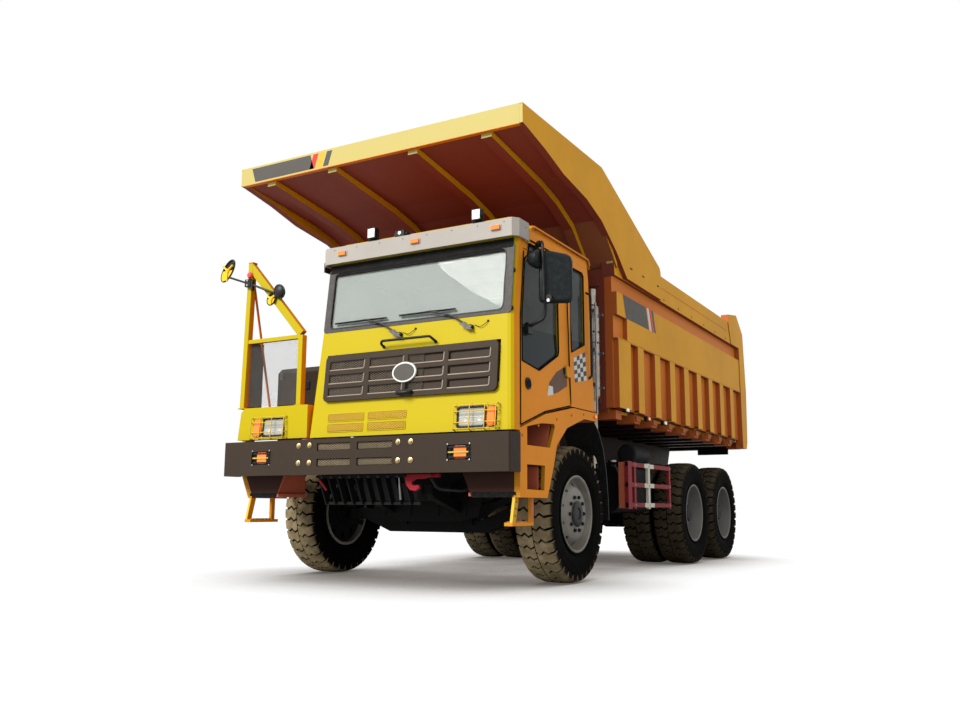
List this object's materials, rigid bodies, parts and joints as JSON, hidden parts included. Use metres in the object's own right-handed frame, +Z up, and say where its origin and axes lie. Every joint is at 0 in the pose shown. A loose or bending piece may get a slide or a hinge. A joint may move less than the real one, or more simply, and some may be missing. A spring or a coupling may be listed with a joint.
{
  "type": "mining dump truck",
  "caption": "Wide-body mining dump truck with an offset cab, tipping bed with canopy, steered front wheels and twin rear wheels.",
  "frame": {"origin": "on the ground, under the middle of the truck's bounding box", "axes": "+Y towards the rear of the truck, +X towards its left side, +Z up"},
  "size_m": [4.04, 8.3, 4.415],
  "materials": {
    "yellow_paint": "semi-gloss enamel, dusty",
    "black_paint": "matt chassis black, dusty",
    "brown_paint": "dark brown-grey enamel",
    "grey_trim": "moulded grey trim",
    "white_paint": "white enamel",
    "seat_fabric": "woven seat cover",
    "glass": "clear safety glass",
    "black_plastic": "moulded black plastic",
    "mirror_yellow": "yellow mirror backs",
    "tyre": "block-tread rubber, dusty",
    "rim_silver": "silver wheel paint",
    "chrome": "polished",
    "steel": "ground and plated"
  },
  "bodies": {
    "chassis": {"frame": "black_paint", "front_bumper": "brown_paint", "skid_guard": "black_paint", "engine_block": "black_paint", "front_axle": "black_paint", "rear_axle_1": "black_paint", "rear_axle_2": "black_paint", "rear_suspension": "black_paint", "cab_floor": "grey_trim", "cab_front_panel": "yellow_paint", "cab_roof": "yellow_paint", "cab_rear_wall": "yellow_paint", "cab_right_wall": "yellow_paint", "cab_left_wall": "yellow_paint", "windshield": "glass", "right_glass": "glass", "quarter_glass": "glass", "roof_visor": "white_paint", "dashboard": "black_plastic", "driver_seat": "seat_fabric", "steering_wheel": "black_plastic", "front_deck": "yellow_paint", "deck_rail": "brown_paint", "deck_box": "brown_paint", "right_mirror": "mirror_yellow", "left_step_fender": "yellow_paint", "right_step_fender": "yellow_paint", "exhaust_stack": "chrome", "fuel_tank": "black_paint", "hydraulic_tank": "black_paint", "side_guard_left": "white_paint", "side_guard_right": "white_paint"},
    "bed": {"bed_floor": "yellow_paint", "bed_side_left": "yellow_paint", "bed_side_right": "yellow_paint", "bed_front_wall": "yellow_paint", "canopy": "yellow_paint"},
    "door_left": {"cab_door_left": "yellow_paint", "door_glass_left": "glass", "mirror_left": "black_plastic"},
    "grille": {"front_grille": "brown_paint"},
    "steer_left": {"knuckle_left": "black_paint"},
    "steer_right": {"knuckle_right": "black_paint"},
    "front_wheel_left": {"front_tyre_left": "tyre", "front_rim_left": "rim_silver"},
    "front_wheel_right": {"front_tyre_right": "tyre", "front_rim_right": "rim_silver"},
    "mid_wheel_body_left": {"mid_wheel_left": "tyre"},
    "mid_wheel_body_right": {"mid_wheel_right": "tyre"},
    "rear_wheel_body_left": {"rear_wheel_left": "tyre"},
    "rear_wheel_body_right": {"rear_wheel_right": "tyre"},
    "barrel_left": {"hoist_barrel_left": "black_paint"},
    "rod_left": {"hoist_rod_left": "steel"},
    "barrel_right": {"hoist_barrel_right": "black_paint"},
    "rod_right": {"hoist_rod_right": "steel"}
  },
  "joints": [
    {"name": "bed_tip", "type": "hinge", "parent": "chassis", "child": "bed", "pos_m": [0, 3.347, 1.3], "axis": [-1, 0, 0], "range_deg": [0, 45]},
    {"name": "door_left_hinge", "type": "hinge", "parent": "chassis", "child": "door_left", "pos_m": [1.668, -3.975, 2.3], "axis": [0, 0, -1], "range_deg": [0, 70]},
    {"name": "grille_hinge", "type": "hinge", "parent": "chassis", "child": "grille", "pos_m": [0.505, -3.99249, 2.204], "axis": [-1, 0, 0], "range_deg": [0, 70]},
    {"name": "steer_left", "type": "hinge", "parent": "chassis", "child": "steer_left", "pos_m": [1.15, -2.603, 0.672], "axis": [0, 0, 1], "range_deg": [-35, 35]},
    {"name": "front_wheel_left_spin", "type": "hinge", "parent": "steer_left", "child": "front_wheel_left", "pos_m": [1.4245, -2.603, 0.672], "axis": [1, 0, 0], "continuous": true},
    {"name": "mid_wheel_left_spin", "type": "hinge", "parent": "chassis", "child": "mid_wheel_body_left", "pos_m": [1.2545, 1.243, 0.672], "axis": [1, 0, 0], "continuous": true},
    {"name": "rear_wheel_left_spin", "type": "hinge", "parent": "chassis", "child": "rear_wheel_body_left", "pos_m": [1.2545, 2.741, 0.672], "axis": [1, 0, 0], "continuous": true},
    {"name": "hoist_swing_left", "type": "hinge", "parent": "chassis", "child": "barrel_left", "pos_m": [0.62, 0.397, 0.75], "axis": [1, 0, 0], "range_deg": [0, 13.88]},
    {"name": "hoist_extend_left", "type": "slide", "parent": "barrel_left", "child": "rod_left", "axis": [0, 0.8742, 0.4856], "range_m": [0, 1.1328]},
    {"name": "steer_right", "type": "hinge", "parent": "chassis", "child": "steer_right", "pos_m": [-1.15, -2.603, 0.672], "axis": [0, 0, 1], "range_deg": [-35, 35]},
    {"name": "front_wheel_right_spin", "type": "hinge", "parent": "steer_right", "child": "front_wheel_right", "pos_m": [-1.4245, -2.603, 0.672], "axis": [1, 0, 0], "continuous": true},
    {"name": "mid_wheel_right_spin", "type": "hinge", "parent": "chassis", "child": "mid_wheel_body_right", "pos_m": [-1.2545, 1.243, 0.672], "axis": [1, 0, 0], "continuous": true},
    {"name": "rear_wheel_right_spin", "type": "hinge", "parent": "chassis", "child": "rear_wheel_body_right", "pos_m": [-1.2545, 2.741, 0.672], "axis": [1, 0, 0], "continuous": true},
    {"name": "hoist_swing_right", "type": "hinge", "parent": "chassis", "child": "barrel_right", "pos_m": [-0.62, 0.397, 0.75], "axis": [1, 0, 0], "range_deg": [0, 13.88]},
    {"name": "hoist_extend_right", "type": "slide", "parent": "barrel_right", "child": "rod_right", "axis": [0, 0.8742, 0.4856], "range_m": [0, 1.1328]}
  ],
  "couplings": [
    {"joint": "steer_right", "follows": "steer_left", "ratio": 1},
    {"joint": "hoist_swing_left", "follows": "bed_tip", "ratio": 0.30816},
    {"joint": "hoist_extend_left", "follows": "bed_tip", "m_per_rad": 1.4417},
    {"joint": "hoist_swing_right", "follows": "bed_tip", "ratio": 0.30816},
    {"joint": "hoist_extend_right", "follows": "bed_tip", "m_per_rad": 1.4417}
  ]
}
